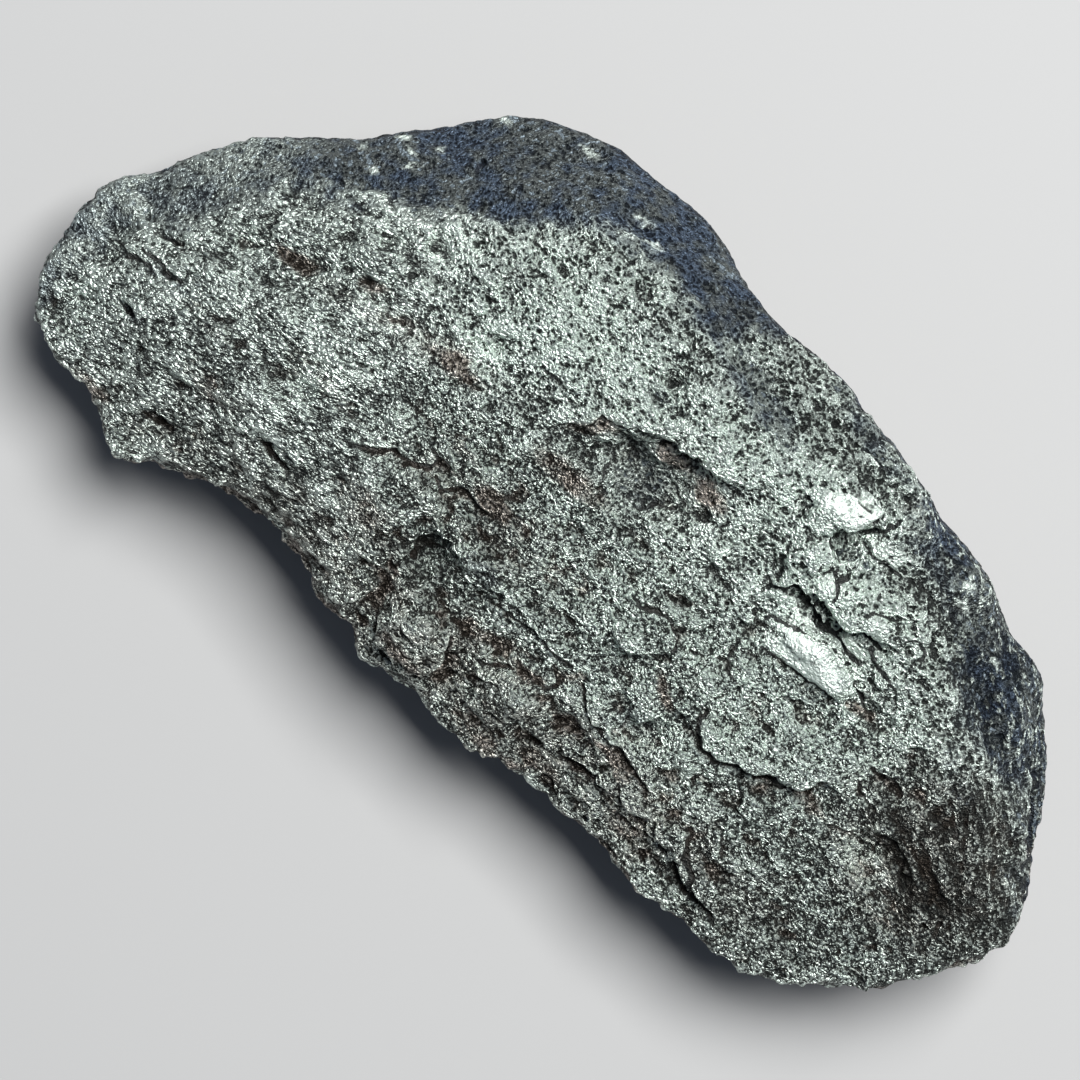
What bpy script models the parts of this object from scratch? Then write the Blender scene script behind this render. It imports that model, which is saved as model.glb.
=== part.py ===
"""Iron meteorite: one broken, weathered lump of iron-nickel metal that rests on a small flat spot.

The lump is long along X and lies with its broad worn face up. A crest runs along its far (+Y) side, bevels
fall from the crest to the far rim, and the worn face slopes down to a thin, torn near (-Y) rim. The
underside is dished with thumbprint hollows around the flat spot. Tables are in millimetres, the mesh is in
metres, and the origin is at the middle of the box's base.
"""

import bmesh
import bpy
import numpy as np
from mathutils import Vector, noise

MM = 0.001

# Overall size
LENGTH = 113.0
WIDTH = 54.0
HEIGHT = 28.5

# Stock slab, and how finely it is worked
SLAB_THICKNESS = 20.0
OUTLINE_STEPS = 6
WELD_GAP = 0.01
SHAPING_MESH = 1.0
CARVING_MESH = 0.75
FACE_COUNT = 9300
THINNEST_RIM = 2.6
EDGE_WEAR_PASSES = 10
SKIM_OFF_BASE = 0.9
CUTTER_DEPTH = 20.0

# Metal, as the photo shows it
COLOUR = (0.20, 0.21, 0.205, 1.0)
ROUGHNESS = 0.48
METALLIC = 0.85

# Plan outline, clockwise from the left end
OUTLINE = [
    (-56.5, -14.6), (-56.2, -5.9), (-53.4, -2.7), (-51.7, 2.0), (-48.3, 5.9), (-37.4, 14.6), (-32.9, 20.9),
    (-29.1, 24.3), (-23.0, 26.3), (-17.3, 27.2), (-8.6, 26.3), (4.3, 22.2), (7.4, 22.7), (19.7, 20.0),
    (25.1, 18.9), (37.2, 14.4), (43.0, 12.6), (45.4, 11.2), (53.6, 0.1), (55.7, -3.3), (57.1, -7.8),
    (56.7, -10.2), (52.3, -16.7), (48.5, -21.3), (46.2, -22.1), (45.0, -24.0), (42.3, -25.6), (40.2, -26.2),
    (28.5, -27.0), (19.1, -26.9), (14.4, -25.8), (9.7, -26.1), (7.7, -25.5), (5.1, -26.6), (-3.9, -26.0),
    (-8.8, -26.4), (-12.6, -24.1), (-14.1, -25.0), (-19.1, -22.7), (-26.3, -21.6), (-36.2, -24.9),
    (-40.3, -27.0), (-44.6, -23.2), (-48.8, -23.3), (-54.8, -20.3), (-56.3, -18.2),
]

# Crest line from the left end to the right: plan position and height
CREST = [
    (-51.9, -7.6, 12.5), (-43.9, 3.3, 16.8), (-26.6, 12.7, 23.6), (-14.8, 19.4, 27.0), (-4.2, 18.9, 27.6),
    (4.5, 17.5, 27.0), (23.0, 16.9, 24.8), (34.0, 11.8, 22.0), (43.2, 3.8, 18.6), (51.0, -0.9, 15.4),
    (57.0, -5.6, 12.2),
]

# How steeply the bevel outside each stretch of crest falls, in degrees
BEVEL_FALL = [38.0, 42.0, 43.0, 48.0, 46.0, 42.0, 38.0, 42.0, 44.0, 44.0]

# Planes of the worn upper face: a point on each, the way it falls and its fall, in degrees
UPPER_FACETS = [
    (0.0, 0.0, 23.2, -90.0, 17.0),
    (-6.0, 15.0, 28.4, -95.0, 5.0),
    (-30.0, 3.0, 22.4, 196.0, 13.0),
    (-45.0, -8.0, 17.6, 205.0, 24.0),
    (30.0, 3.0, 22.8, -62.0, 14.0),
    (37.0, -9.0, 18.6, -42.0, 19.0),
    (0.0, -17.5, 18.0, -90.0, 38.0),
    (-36.0, -19.0, 15.2, -105.0, 36.0),
    (36.0, -20.0, 14.6, -76.0, 34.0),
]

# The shoulder fused to the far side, where the bevel dies out
SHOULDER_FACETS = [
    (13.0, 16.5, 26.0, 84.0, 15.0),
    (13.0, 15.0, 26.4, -90.0, 19.0),
    (2.0, 19.5, 25.0, 168.0, 30.0),
    (12.0, 21.8, 24.6, 80.0, 44.0),
    (23.5, 17.4, 24.8, 40.0, 42.0),
]

# Planes of the underside: a point on each, and a direction and fall, where a negative fall is a rise
UNDER_FACETS = [
    (0.0, 0.0, -1.4, 0.0, 0.0),
    (0.0, -12.5, 0.0, -92.0, -27.0),
    (0.0, -20.0, 3.8, -90.0, -42.0),
    (-5.0, 13.5, 0.0, 88.0, -45.0),
    (-28.0, 0.0, 0.0, 184.0, -13.0),
    (-50.0, -9.0, 5.0, 188.0, -24.0),
    (-24.0, 11.5, 0.0, 132.0, -27.0),
    (-36.0, 13.0, 6.4, 128.0, -48.0),
    (28.0, 0.0, 0.0, -3.0, -15.0),
    (50.0, -8.0, 6.0, -14.0, -34.0),
    (25.0, 10.0, 0.0, 52.0, -29.0),
    (-27.0, -10.0, 0.0, 232.0, -18.0),
    (27.0, -10.0, 0.0, -50.0, -18.0),
]
EDGE_BLEND = 0.8
UNDER_BLEND = 1.2

# Hollows in the upper face: middle, half-length, half-width above and below the middle, turn, depth, lip
# softness. Above is the far side of the long axis, and a lip softness of 1 leaves a crisp rim.
UPPER_HOLLOWS = {
    "middle scoop": (3.0, 5.4, 7.6, 3.2, 7.0, 9.0, 2.5, 1.2),
    "scoop tail": (-4.2, 3.7, 5.0, 2.2, 3.0, 36.0, 0.9, 1.4),
    "right scoop": (42.9, -10.2, 5.9, 2.3, 4.8, -18.0, 2.0, 1.2),
    "deep pit": (-9.5, -14.9, 3.0, 2.1, 2.2, 62.0, 2.6, 1.3),
    "rift floor": (23.7, 3.9, 5.4, 1.5, 2.1, -6.0, 1.5, 1.3),
    "rift foot": (32.7, -0.4, 4.2, 1.5, 1.8, 12.0, 1.1, 1.6),
    "notch floor": (20.5, 11.2, 3.4, 2.4, 2.4, 48.0, 1.7, 1.3),
    "notch flat": (24.9, 11.4, 5.0, 2.2, 3.0, 0.0, 0.7, 1.6),
    "shoulder channel": (5.0, 17.2, 10.0, 1.8, 1.8, -14.0, 1.0, 2.0),
    "right dip": (33.5, 8.9, 2.6, 1.8, 1.8, 70.0, 1.0, 1.5),
    "right valley": (45.3, 1.1, 3.2, 1.6, 2.2, -35.0, 0.9, 1.5),
    "small scoop": (16.9, -14.5, 3.2, 1.7, 2.0, 24.0, 1.0, 1.4),
    "left dip": (-27.0, -16.3, 3.8, 1.2, 1.6, -4.0, 0.8, 1.5),
    "left cup": (-41.3, -2.6, 2.0, 1.2, 1.4, 20.0, 0.8, 1.5),
    "left groove": (-36.7, -0.9, 3.0, 1.0, 1.2, 8.0, 0.7, 1.5),
    "spike dip": (-37.5, -20.7, 3.0, 1.1, 1.6, 6.0, 1.0, 1.5),
    "tip cup": (-52.0, -16.3, 2.6, 1.5, 1.7, 30.0, 0.8, 1.6),
    "tip dip": (-46.7, -14.2, 2.4, 1.0, 1.0, 4.0, 0.7, 1.5),
    "near hollow": (14.7, -20.6, 4.0, 1.2, 1.5, 10.0, 0.8, 1.5),
    "knob valley": (-1.5, -21.6, 3.8, 1.5, 1.5, 88.0, 1.3, 1.5),
    "crest cup a": (-33.8, 3.6, 1.5, 1.2, 1.2, 70.0, 0.8, 1.4),
    "crest cup b": (-30.9, 6.3, 1.9, 1.2, 1.2, 25.0, 0.8, 1.4),
    "crest cup c": (-26.8, 8.6, 1.7, 1.1, 1.1, 60.0, 0.6, 1.4),
    "crest cup d": (-23.7, 10.8, 1.8, 1.1, 1.1, 20.0, 0.8, 1.4),
    "crest cup e": (-16.2, 14.1, 1.9, 1.2, 1.2, -35.0, 0.9, 1.4),
    "crest cup f": (-1.9, 12.3, 1.7, 1.4, 1.4, 0.0, 0.8, 1.4),
    "crest cup g": (-17.3, 3.6, 1.7, 1.1, 1.1, 12.0, 0.9, 1.4),
    "crest cup h": (7.7, 11.1, 2.0, 1.2, 1.2, 80.0, 0.7, 1.4),
    "crest cup i": (-8.6, 11.2, 2.6, 1.3, 1.3, 38.0, 0.7, 1.5),
}

# Lumps on the upper face: middle, half-length, half-width, turn and height
UPPER_LUMPS = {
    "knob": (-5.2, -20.2, 4.3, 3.1, -28.0, 1.7),
    "near lump": (5.3, -20.2, 3.6, 2.6, 20.0, 1.1),
    "rim lump": (4.8, -24.1, 4.2, 2.4, 0.0, 1.0),
    "bright tongue": (18.5, 14.3, 4.2, 2.4, 34.0, 0.3),
    "rift bar": (25.1, 0.9, 5.0, 1.7, -10.0, 1.0),
    "rift tooth": (28.2, 4.2, 2.4, 1.1, -12.0, 0.7),
    "right knuckle": (43.7, 2.8, 3.4, 1.7, -38.0, 0.9),
    "end swelling": (43.8, 7.3, 4.6, 2.4, -42.0, 0.8),
    "left swelling": (-27.6, -14.9, 3.0, 1.2, 0.0, 0.8),
    "spike root": (-35.9, -22.7, 3.4, 1.6, 24.0, 0.7),
    "middle swelling": (-3.8, -11.0, 4.2, 2.2, 26.0, 0.8),
    "lower swelling": (41.4, -13.2, 3.4, 2.0, -14.0, 0.6),
    "tip swelling": (-54.1, -7.2, 2.6, 2.0, 60.0, 0.7),
}

# Ledges on the upper face: the path of each, its height on the left of the path, and how far back it reaches
UPPER_LEDGES = {
    "hook": ([(20.7, 7.9), (19.3, 9.5), (18.7, 11.0), (19.3, 12.4), (20.8, 13.5), (22.3, 15.1)], 1.1, 6.5),
    "scoop brow": ([(10.4, 8.7), (5.5, 8.2), (1.6, 8.3), (-1.7, 7.1), (-4.6, 5.4), (-7.7, 2.7)], -0.9, 4.0),
    "rift brow": ([(31.5, 4.5), (29.4, 5.7), (26.6, 5.7), (24.9, 4.9), (20.2, 5.2), (17.8, 4.1)], -1.0, 3.0),
    "torn ledge": ([(36.2, -7.3), (33.7, -7.8), (31.7, -9.2), (28.3, -10.2), (25.0, -12.2)], -1.2, 4.5),
    "scoop lip": ([(48.4, -12.4), (45.8, -9.4), (42.6, -8.1), (40.5, -8.4), (37.5, -10.0)], -0.7, 3.0),
    "plate edge": ([(6.6, -5.4), (11.5, -5.1), (14.2, -5.7), (15.0, -7.4), (14.9, -9.0)], -0.8, 6.0),
    "lower step": ([(23.7, -20.4), (25.1, -21.8), (27.3, -22.0), (29.0, -23.9), (35.1, -25.9)], 1.0, 4.0),
    "knob cleft": ([(-9.6, -21.6), (-7.7, -23.7), (-4.9, -25.1), (-2.5, -26.1)], 0.9, 2.6),
    "left step": ([(-22.0, -11.4), (-18.6, -9.4), (-15.4, -8.3), (-13.8, -7.6)], -0.7, 3.6),
}

# Cracks in the upper face: the path of each, its depth and its half-width
UPPER_CRACKS = {
    "upper rift": ([(18.8, 4.5), (20.4, 5.1), (24.9, 4.8), (27.0, 5.7), (29.6, 5.5), (32.6, 3.3)], 1.6, 0.6),
    "lower rift": ([(23.9, 2.4), (27.3, 1.8), (30.7, 0.5), (33.1, -0.2)], 1.5, 0.6),
    "middle rift": ([(22.1, 4.5), (25.1, 3.9), (29.4, 3.0)], 0.9, 0.5),
    "hook cleft": ([(19.5, 9.1), (19.0, 11.2), (20.6, 12.7), (22.9, 15.5)], 1.3, 0.7),
    "torn cleft": ([(28.5, -10.3), (31.3, -9.6), (33.5, -8.0), (35.8, -7.5)], 1.2, 0.6),
    "left crack": ([(-21.6, -11.0), (-16.8, -8.6), (-13.8, -7.5), (-12.0, -8.6), (-10.7, -8.0)], 0.9, 0.5),
    "near crack": ([(24.1, -21.0), (27.1, -22.1), (29.4, -24.1), (34.7, -25.9)], 0.8, 0.5),
    "end crack": ([(49.2, 4.9), (52.0, 1.1), (54.7, -3.2)], 0.9, 0.6),
    "long crack": ([(43.9, -1.1), (46.6, -3.7), (48.9, -6.0)], 0.6, 0.5),
}

# Thumbprints in the underside and flanks: middle in plan, half-length, half-width, turn and depth
UNDER_THUMBPRINTS = {
    "under a": (-37.5, 3.0, 9.4, 6.6, 18.0, 2.6),
    "under b": (-33.0, -11.0, 8.0, 6.4, -14.0, 2.3),
    "under c": (-47.5, -9.0, 6.8, 5.2, 64.0, 1.9),
    "under d": (-43.0, -19.0, 6.4, 4.4, -10.0, 1.5),
    "under e": (-20.0, -16.6, 8.2, 5.0, 8.0, 2.4),
    "under f": (-5.4, -19.4, 7.2, 5.2, -14.0, 2.1),
    "under g": (9.6, -17.6, 8.8, 5.6, 10.0, 2.7),
    "under h": (25.0, -18.4, 7.4, 5.4, -8.0, 2.2),
    "under i": (39.4, -16.4, 8.0, 6.4, 22.0, 2.5),
    "under j": (36.0, -2.0, 8.6, 6.4, -16.0, 2.5),
    "under k": (49.0, -4.6, 6.0, 5.2, 70.0, 1.7),
    "under l": (42.0, 8.2, 6.6, 4.6, -38.0, 1.8),
    "under m": (27.0, 11.8, 8.4, 5.2, -20.0, 2.4),
    "under n": (12.0, 16.8, 7.8, 5.4, 6.0, 2.5),
    "under o": (-2.6, 19.6, 7.4, 5.0, -8.0, 2.2),
    "under p": (-16.6, 20.4, 7.8, 5.6, 6.0, 2.6),
    "under q": (-29.4, 15.6, 6.6, 5.2, 46.0, 2.0),
    "flat dimple a": (-14.5, -5.0, 5.6, 4.0, 30.0, 1.6),
    "flat dimple b": (13.5, 5.4, 5.2, 3.8, -20.0, 1.5),
}

# Slow swellings all over: wavelength and height
SWELLINGS = [(17.0, 0.75), (7.5, 0.45), (3.6, 0.22)]

# Small shallow dimples all over, with sharp ridges between them: spacing and depth, and the share of it
# that the steep rims get
DIMPLES = [(6.6, 0.85), (3.9, 0.34)]
RIM_SHARE = 0.3

# How far the rims of hollows and ledges wander from their plain ovals and paths: wavelength and distance
WANDERINGS = [(5.5, 0.9), (2.4, 0.4)]

# How wide a ledge's face is in plan, and the share of its path over which a ledge or crack fades at each end
LEDGE_FACE = 0.7
FADING_END = 0.2

# How far up the surface faces, from 1 for straight up to -1 for straight down, where each kind of carving
# starts and where it is in full
FACING_UP = (0.05, 0.45)
FACING_DOWN = (0.25, -0.25)
OFF_THE_RIM = (0.2, 0.7)


def clear_scene():
    """Remove whatever is in the scene."""
    for obj in list(bpy.data.objects):
        bpy.data.objects.remove(obj, do_unlink=True)


def settle(obj):
    """Make the object's modifiers part of its mesh."""
    depsgraph = bpy.context.evaluated_depsgraph_get()
    mesh = bpy.data.meshes.new_from_object(obj.evaluated_get(depsgraph))
    obj.modifiers.clear()
    obj.data = mesh


def even_out(obj, edge):
    """Rebuild the surface with evenly spaced faces."""
    remesh = obj.modifiers.new("even faces", "REMESH")
    remesh.mode = "VOXEL"
    remesh.voxel_size = edge * MM
    settle(obj)


def stock_slab(collection):
    """A slab with the lump's outline, centred on the plane z = 0."""
    curve = bpy.data.curves.new("stock outline", "CURVE")
    curve.dimensions = "2D"
    curve.fill_mode = "BOTH"
    curve.extrude = SLAB_THICKNESS / 2 * MM
    curve.resolution_u = OUTLINE_STEPS
    spline = curve.splines.new("BEZIER")
    spline.bezier_points.add(len(OUTLINE) - 1)
    spline.use_cyclic_u = True
    for point, (x, y) in zip(spline.bezier_points, OUTLINE):
        point.co = (x * MM, y * MM, 0.0)
        point.handle_left_type = "AUTO"
        point.handle_right_type = "AUTO"
    outline = bpy.data.objects.new("stock outline", curve)
    collection.objects.link(outline)
    depsgraph = bpy.context.evaluated_depsgraph_get()
    mesh = bpy.data.meshes.new_from_object(outline.evaluated_get(depsgraph))
    bpy.data.objects.remove(outline, do_unlink=True)
    weld = bmesh.new()
    weld.from_mesh(mesh)
    bmesh.ops.remove_doubles(weld, verts=weld.verts, dist=WELD_GAP * MM)
    bmesh.ops.recalc_face_normals(weld, faces=weld.faces)
    weld.to_mesh(mesh)
    weld.free()
    slab = bpy.data.objects.new("meteorite", mesh)
    collection.objects.link(slab)
    even_out(slab, SHAPING_MESH)
    return slab


def read_points(mesh):
    """The mesh's points and their normals, in millimetres."""
    count = len(mesh.vertices)
    points = np.empty(count * 3)
    mesh.vertices.foreach_get("co", points)
    normals = np.empty(count * 3)
    mesh.vertex_normals.foreach_get("vector", normals)
    return points.reshape(count, 3) / MM, normals.reshape(count, 3)


def write_points(mesh, points):
    """Move the mesh's points to new places given in millimetres."""
    mesh.vertices.foreach_set("co", (points * MM).ravel())
    mesh.update()


def plane_height(x, y, plane):
    """Height of a plane that falls one way from a point on it."""
    x0, y0, z0, azimuth, fall = plane
    turn = np.radians(azimuth)
    ahead = (x - x0) * np.cos(turn) + (y - y0) * np.sin(turn)
    return z0 - np.tan(np.radians(fall)) * ahead


def bevel_height(x, y, start, end, fall):
    """Height of the plane through one stretch of crest that falls to the left of it."""
    run = np.hypot(end[0] - start[0], end[1] - start[1])
    ux = (end[0] - start[0]) / run
    uy = (end[1] - start[1]) / run
    along = (x - start[0]) * ux + (y - start[1]) * uy
    outward = (y - start[1]) * ux - (x - start[0]) * uy
    return start[2] + (end[2] - start[2]) / run * along - np.tan(np.radians(fall)) * outward


def soft_least(heights, blend):
    """Smallest of several heights, with the corners between them rounded."""
    stack = np.array(heights)
    floor = stack.min(axis=0)
    return floor - blend * np.log(np.exp((floor - stack) / blend).sum(axis=0))


def upper_height(x, y):
    """Height of the upper face before anything is carved in it."""
    heights = [plane_height(x, y, plane) for plane in UPPER_FACETS]
    for start, end, fall in zip(CREST[:-1], CREST[1:], BEVEL_FALL):
        heights.append(bevel_height(x, y, start, end, fall))
    body = soft_least(heights, EDGE_BLEND)
    shoulder = soft_least([plane_height(x, y, plane) for plane in SHOULDER_FACETS], EDGE_BLEND)
    return -soft_least([-body, -shoulder], EDGE_BLEND / 2)


def under_height(x, y):
    """Height of the underside before anything is carved in it."""
    return -soft_least([-plane_height(x, y, plane) for plane in UNDER_FACETS], UNDER_BLEND)


def shape_slab(slab):
    """Move the slab's two faces to the upper and under surfaces, and the wall in between with them."""
    points, _ = read_points(slab.data)
    x, y, z = points.T
    level = np.clip(z / (SLAB_THICKNESS / 2), -1.0, 1.0)
    under = under_height(x, y)
    upper = np.maximum(upper_height(x, y), under + THINNEST_RIM)
    points[:, 2] = under + (upper - under) * (level + 1.0) / 2.0
    write_points(slab.data, points)
    smooth = slab.modifiers.new("worn edges", "SMOOTH")
    smooth.factor = 0.5
    smooth.iterations = EDGE_WEAR_PASSES
    settle(slab)
    even_out(slab, CARVING_MESH)


def oval_reach(x, y, middle, half_length, half_above, half_below, turn):
    """Squared distance from the middle of an oval, 1 on its rim."""
    angle = np.radians(turn)
    u = (x - middle[0]) * np.cos(angle) + (y - middle[1]) * np.sin(angle)
    v = (y - middle[1]) * np.cos(angle) - (x - middle[0]) * np.sin(angle)
    half_width = np.where(v > 0.0, half_above, half_below)
    return (u / half_length) ** 2 + (v / half_width) ** 2


def path_reach(x, y, path):
    """Distance from a path, which side of it a point is on, and how far along it."""
    nearest = np.full(x.shape, np.inf)
    side = np.zeros(x.shape)
    share = np.zeros(x.shape)
    legs = list(zip(path[:-1], path[1:]))
    for number, ((x0, y0), (x1, y1)) in enumerate(legs):
        dx = x1 - x0
        dy = y1 - y0
        part = np.clip(((x - x0) * dx + (y - y0) * dy) / (dx * dx + dy * dy), 0.0, 1.0)
        away = np.hypot(x - x0 - part * dx, y - y0 - part * dy)
        nearer = away < nearest
        nearest = np.where(nearer, away, nearest)
        side = np.where(nearer, np.sign(dx * (y - y0) - dy * (x - x0)), side)
        share = np.where(nearer, (number + part) / len(legs), share)
    return nearest, side, share


def ease(value, start, full):
    """Smooth step that is 0 at the start value and 1 at the full one."""
    part = np.clip((value - start) / (full - start), 0.0, 1.0)
    return part * part * (3.0 - 2.0 * part)


def carve_hollow(x, y, hollow):
    """Depth of a hollow with one steep and one gentle side."""
    mx, my, half_length, half_above, half_below, turn, depth, softness = hollow
    reach = oval_reach(x, y, (mx, my), half_length, half_above, half_below, turn)
    return -depth * np.clip(1.0 - reach, 0.0, 1.0) ** softness


def raise_lump(x, y, lump):
    """Height of a rounded lump."""
    mx, my, half_length, half_width, turn, height = lump
    reach = oval_reach(x, y, (mx, my), half_length, half_width, half_width, turn)
    return height * np.exp(-1.6 * reach ** 1.5)


def step_ledge(x, y, ledge):
    """A step: the ground is lifted beside the path, and falls back to level further off."""
    path, height, reach = ledge
    away, side, share = path_reach(x, y, path)
    beside = away * side * np.sign(height)
    ends = ease(np.minimum(share, 1.0 - share), 0.0, FADING_END)
    face = ease(beside, -LEDGE_FACE / 2, LEDGE_FACE / 2)
    lift = face * np.exp(-((np.maximum(beside, 0.0) / reach) ** 2))
    return abs(height) * lift * ends * (away < 3.0 * reach)


def open_crack(x, y, crack):
    """A narrow groove that fades out at both ends."""
    path, depth, half_width = crack
    away, _, share = path_reach(x, y, path)
    ends = ease(np.minimum(share, 1.0 - share), 0.0, FADING_END)
    return -depth * np.exp(-((away / half_width) ** 2)) * ends


def press_thumbprint(x, y, thumbprint):
    """A broad, shallow dish."""
    mx, my, half_length, half_width, turn, depth = thumbprint
    reach = oval_reach(x, y, (mx, my), half_length, half_width, half_width, turn)
    return -depth * np.clip(1.0 - reach, 0.0, 1.0) ** 1.1


def swell(points):
    """Slow, uneven swelling of the whole surface."""
    lift = np.zeros(len(points))
    for number, (wavelength, height) in enumerate(SWELLINGS):
        shift = Vector((31.0 * number, 7.0, 3.0))
        waves = [noise.noise(Vector(point) / wavelength + shift) for point in points]
        lift += height * np.array(waves)
    return lift


def dimple(points):
    """Close-set dimples, which meet in small ridges."""
    lift = np.zeros(len(points))
    for spacing, depth in DIMPLES:
        nearest = [noise.voronoi(Vector(point) / spacing)[0][0] for point in points]
        lift += depth * np.array(nearest) ** 2
    return lift - lift.mean()


def wander(points):
    """Where each point stands in plan once the rims are made uneven."""
    place = points[:, :2].copy()
    for wavelength, distance in WANDERINGS:
        for axis, shift in enumerate([Vector((9.0, 4.0, 2.0)), Vector((3.0, 8.0, 5.0))]):
            drift = [noise.noise(Vector(point) / wavelength + shift) for point in points]
            place[:, axis] += distance * np.array(drift)
    return place.T


def carve(lump):
    """Carve the hollows, lumps, ledges, cracks and thumbprints, each along the surface's own normal."""
    points, normals = read_points(lump.data)
    x, y = wander(points)
    above = np.zeros(len(points))
    for hollow in UPPER_HOLLOWS.values():
        above += carve_hollow(x, y, hollow)
    for raised in UPPER_LUMPS.values():
        above += raise_lump(x, y, raised)
    for ledge in UPPER_LEDGES.values():
        above += step_ledge(x, y, ledge)
    for crack in UPPER_CRACKS.values():
        above += open_crack(x, y, crack)
    below = np.zeros(len(points))
    for thumbprint in UNDER_THUMBPRINTS.values():
        below = np.minimum(below, press_thumbprint(x, y, thumbprint))
    tilt = normals[:, 2]
    level = RIM_SHARE + (1.0 - RIM_SHARE) * ease(np.abs(tilt), *OFF_THE_RIM)
    lift = above * ease(tilt, *FACING_UP) + below * ease(tilt, *FACING_DOWN)
    lift += swell(points) + dimple(points) * level
    write_points(lump.data, points + normals * lift[:, None])


def thin_out(lump):
    """Keep only the faces that the shape needs, closest together at its edges and cracks."""
    decimate = lump.modifiers.new("fewer faces", "DECIMATE")
    decimate.ratio = FACE_COUNT / (2.0 * len(lump.data.polygons))
    decimate.use_collapse_triangulate = True
    settle(lump)


def fit_box(lump):
    """Bring the lump to its real size, with its base just under z = 0."""
    points, _ = read_points(lump.data)
    low = points.min(axis=0)
    high = points.max(axis=0)
    size = np.array([LENGTH, WIDTH, HEIGHT + SKIM_OFF_BASE])
    middle = np.array([(low[0] + high[0]) / 2, (low[1] + high[1]) / 2, low[2]])
    points = (points - middle) * size / (high - low)
    points[:, 2] -= SKIM_OFF_BASE
    write_points(lump.data, points)


def flatten_base(lump, cutters):
    """Take off what is under z = 0, which leaves the flat spot that the lump rests on."""
    bpy.ops.mesh.primitive_cube_add(size=1.0, location=(0.0, 0.0, -CUTTER_DEPTH / 2 * MM))
    cutter = bpy.context.object
    cutter.name = "ground cutter"
    cutter.scale = (2.0 * LENGTH * MM, 2.0 * WIDTH * MM, CUTTER_DEPTH * MM)
    cutter.hide_render = True
    cutter.display_type = "WIRE"
    for collection in list(cutter.users_collection):
        collection.objects.unlink(cutter)
    cutters.objects.link(cutter)
    cut = lump.modifiers.new("flat spot", "BOOLEAN")
    cut.operation = "DIFFERENCE"
    cut.solver = "EXACT"
    cut.object = cutter
    bpy.context.view_layer.update()
    settle(lump)


def iron_material():
    """Bare, weathered iron-nickel metal."""
    material = bpy.data.materials.new("weathered iron")
    material.use_nodes = True
    shader = material.node_tree.nodes["Principled BSDF"]
    shader.inputs["Base Color"].default_value = COLOUR
    shader.inputs["Roughness"].default_value = ROUGHNESS
    shader.inputs["Metallic"].default_value = METALLIC
    return material


def make_collection(name):
    """A new collection in the scene."""
    collection = bpy.data.collections.new(name)
    bpy.context.scene.collection.children.link(collection)
    return collection


def build():
    """Make the meteorite."""
    clear_scene()
    collection = make_collection("iron meteorite")
    cutters = make_collection("cutters")
    lump = stock_slab(collection)
    shape_slab(lump)
    carve(lump)
    thin_out(lump)
    fit_box(lump)
    flatten_base(lump, cutters)
    lump.data.materials.clear()
    lump.data.materials.append(iron_material())
    lump.data.shade_smooth()


build()
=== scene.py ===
"""The looks of an iron meteorite: one weathered lump, resting on its flat spot on a pale floor."""

from itertools import product

import bmesh
import bpy
import numpy as np
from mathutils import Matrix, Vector


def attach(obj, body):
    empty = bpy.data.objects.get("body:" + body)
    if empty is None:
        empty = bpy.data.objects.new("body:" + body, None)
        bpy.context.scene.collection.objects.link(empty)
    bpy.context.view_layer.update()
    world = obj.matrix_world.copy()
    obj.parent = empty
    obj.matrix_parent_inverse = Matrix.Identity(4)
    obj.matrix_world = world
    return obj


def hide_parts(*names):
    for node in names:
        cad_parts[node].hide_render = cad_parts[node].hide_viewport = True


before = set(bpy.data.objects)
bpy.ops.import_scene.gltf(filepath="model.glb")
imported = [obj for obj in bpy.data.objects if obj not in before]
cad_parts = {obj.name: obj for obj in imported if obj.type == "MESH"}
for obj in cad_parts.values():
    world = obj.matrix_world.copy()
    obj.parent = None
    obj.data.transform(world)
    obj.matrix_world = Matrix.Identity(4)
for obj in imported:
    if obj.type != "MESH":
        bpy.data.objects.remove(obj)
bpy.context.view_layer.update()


# The meteorite
# One natural lump of iron-nickel metal with no parts. It was torn from a larger mass, scorched and
# thumbprinted as it fell, and then lay in the ground, which ate pits and grooves into it and left brown
# stains in them.

# The lump's mesh: its sizes in millimetres, as everywhere below, and its rounds of smoothing
MM = 0.001
FORMING_MESH = 0.5
MERGE_GAP = 0.01
FACET_ROUNDS = 8
CLOSE_ROUNDS = 5
WIDE_ROUNDS = 60
TRIANGLES = 196000

# Random patterns: large odd numbers that scatter a cell's place and its seed, the greatest result, the step
# from one seed to the next, and the gain that brings waves to a height of about 1
SCATTER = (73856093, 19349663, 83492791)
SEED_SCATTER = 7919
MIXER = 2246822519
HIGHEST = 4294967295.0
SEED_STEP = 31
WAVE_GAIN = 1.6


def work(piece, kind, **settings):
    """Put one modifier on the piece and make its result the piece's mesh."""
    modifier = piece.modifiers.new(kind.lower(), kind)
    for name, value in settings.items():
        setattr(modifier, name, value)
    depsgraph = bpy.context.evaluated_depsgraph_get()
    evaluated = piece.evaluated_get(depsgraph)
    mesh = bpy.data.meshes.new_from_object(evaluated, preserve_all_data_layers=True, depsgraph=depsgraph)
    piece.modifiers.clear()
    piece.data = mesh


def read(mesh):
    """The mesh's points in millimetres, their normals and its edges."""
    count = len(mesh.vertices)
    points = np.empty(count * 3)
    normals = np.empty(count * 3)
    edges = np.empty(len(mesh.edges) * 2, dtype=int)
    mesh.vertices.foreach_get("co", points)
    mesh.vertex_normals.foreach_get("vector", normals)
    mesh.edges.foreach_get("vertices", edges)
    return points.reshape(count, 3) / MM, normals.reshape(count, 3), edges.reshape(-1, 2)


def write(mesh, points):
    """Move the mesh's points to places given in millimetres."""
    mesh.vertices.foreach_set("co", (points * MM).ravel())
    mesh.update()


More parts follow.
